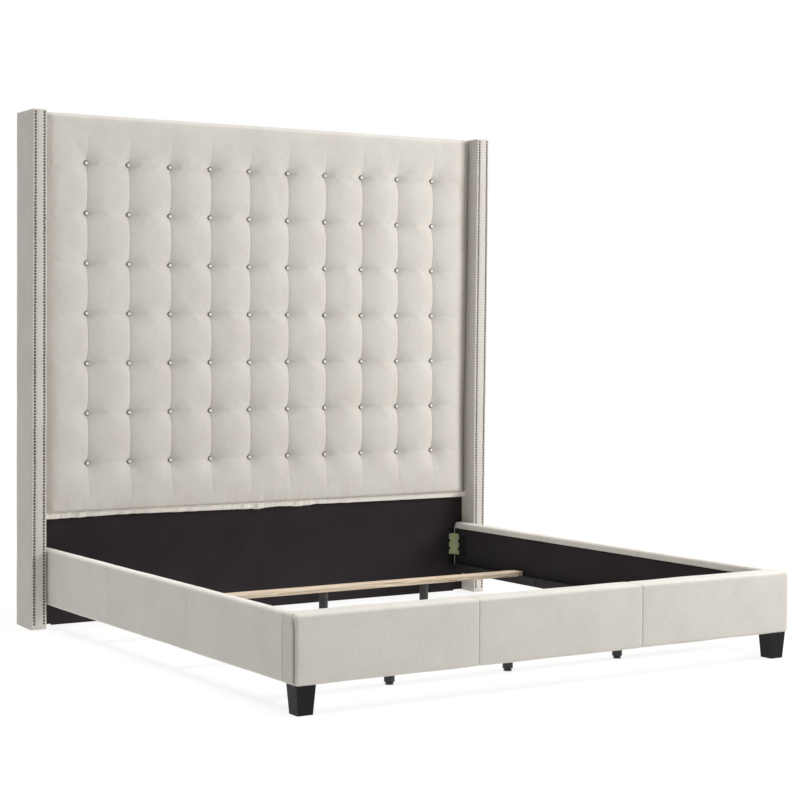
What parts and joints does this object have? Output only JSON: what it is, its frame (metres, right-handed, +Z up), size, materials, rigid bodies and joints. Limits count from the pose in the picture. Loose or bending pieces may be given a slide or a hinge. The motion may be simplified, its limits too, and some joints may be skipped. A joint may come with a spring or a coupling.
{
  "type": "wingback bed",
  "caption": "Upholstered bed frame with a tall button-tufted headboard between wings, box side rails, a low footboard, tapered legs and slats on adjustable supports.",
  "frame": {"origin": "on the floor, under the centre of the bed's overall length and width", "axes": "+Z up, +Y towards the headboard, +X towards the right-hand rail as seen from the foot; the bed mirrors across X"},
  "size_m": [2.245, 2.286, 2.134],
  "materials": {
    "linen": "slubby cream linen",
    "button_linen": "cream linen over a button shell",
    "black_cloth": "black woven lining cloth",
    "frame_timber": "sawn softwood",
    "plywood": "plain plywood",
    "slat_pine": "planed pine",
    "black_wood": "black stained hardwood",
    "leg_plastic": "black moulded plastic",
    "glide_plastic": "dark grey nylon",
    "nailhead": "antique nickel",
    "zinc_steel": "yellow zinc-passivated steel",
    "dark_steel": "dark plated steel"
  },
  "bodies": {
    "frame": {"headboard_post_left": "frame_timber", "headboard_post_right": "frame_timber", "headboard_top_rail": "frame_timber", "headboard_bottom_rail": "frame_timber", "headboard_cross_rails": "frame_timber", "headboard_stiles": "frame_timber", "headboard_front_board": "plywood", "headboard_back_panel": "black_cloth", "headboard_pad": "linen", "headboard_hem": "linen", "tuft_buttons": "button_linen", "headboard_lower_cover": "black_cloth", "headboard_side_strips": "black_cloth", "wing_core_left": "frame_timber", "wing_core_right": "frame_timber", "wing_cover_left": "linen", "wing_cover_right": "linen", "wing_nail_trim_left": "nailhead", "wing_nail_trim_right": "nailhead", "wing_glides": "glide_plastic", "wing_bolts": "dark_steel", "rail_core_left": "frame_timber", "rail_core_right": "frame_timber", "rail_cover_left": "linen", "rail_cover_right": "linen", "rail_lining_left": "black_cloth", "rail_lining_right": "black_cloth", "slat_ledger_left": "black_wood", "slat_ledger_right": "black_wood", "ledger_bolts": "dark_steel", "footboard_core": "frame_timber", "footboard_cover": "linen", "footboard_lining": "black_cloth", "front_leg_left": "black_wood", "front_leg_right": "black_wood", "leg_bolts": "dark_steel", "headboard_plates": "dark_steel", "rail_plates_head": "dark_steel", "corner_brackets_head": "zinc_steel", "footboard_plates": "dark_steel", "rail_plates_foot": "dark_steel", "corner_brackets_foot": "zinc_steel", "bracket_bolts": "dark_steel", "slat_head": "slat_pine", "slat_middle": "slat_pine", "slat_foot": "slat_pine", "slat_screws": "dark_steel", "support_legs_head": "leg_plastic", "support_legs_middle": "leg_plastic", "support_legs_foot": "leg_plastic", "support_leg_studs": "dark_steel"},
    "glide_head_left": {"support_glide_head_left": "glide_plastic"},
    "glide_head_centre": {"support_glide_head_centre": "glide_plastic"},
    "glide_head_right": {"support_glide_head_right": "glide_plastic"},
    "glide_middle_left": {"support_glide_middle_left": "glide_plastic"},
    "glide_middle_centre": {"support_glide_middle_centre": "glide_plastic"},
    "glide_middle_right": {"support_glide_middle_right": "glide_plastic"},
    "glide_foot_left": {"support_glide_foot_left": "glide_plastic"},
    "glide_foot_centre": {"support_glide_foot_centre": "glide_plastic"},
    "glide_foot_right": {"support_glide_foot_right": "glide_plastic"}
  },
  "joints": [
    {"name": "level_head_left", "type": "slide", "parent": "frame", "child": "glide_head_left", "axis": [0, 0, 1], "range_m": [-0.012, 0.0035]},
    {"name": "level_head_centre", "type": "slide", "parent": "frame", "child": "glide_head_centre", "axis": [0, 0, 1], "range_m": [-0.012, 0.0035]},
    {"name": "level_head_right", "type": "slide", "parent": "frame", "child": "glide_head_right", "axis": [0, 0, 1], "range_m": [-0.012, 0.0035]},
    {"name": "level_middle_left", "type": "slide", "parent": "frame", "child": "glide_middle_left", "axis": [0, 0, 1], "range_m": [-0.012, 0.0035]},
    {"name": "level_middle_centre", "type": "slide", "parent": "frame", "child": "glide_middle_centre", "axis": [0, 0, 1], "range_m": [-0.012, 0.0035]},
    {"name": "level_middle_right", "type": "slide", "parent": "frame", "child": "glide_middle_right", "axis": [0, 0, 1], "range_m": [-0.012, 0.0035]},
    {"name": "level_foot_left", "type": "slide", "parent": "frame", "child": "glide_foot_left", "axis": [0, 0, 1], "range_m": [-0.012, 0.0035]},
    {"name": "level_foot_centre", "type": "slide", "parent": "frame", "child": "glide_foot_centre", "axis": [0, 0, 1], "range_m": [-0.012, 0.0035]},
    {"name": "level_foot_right", "type": "slide", "parent": "frame", "child": "glide_foot_right", "axis": [0, 0, 1], "range_m": [-0.012, 0.0035]}
  ]
}
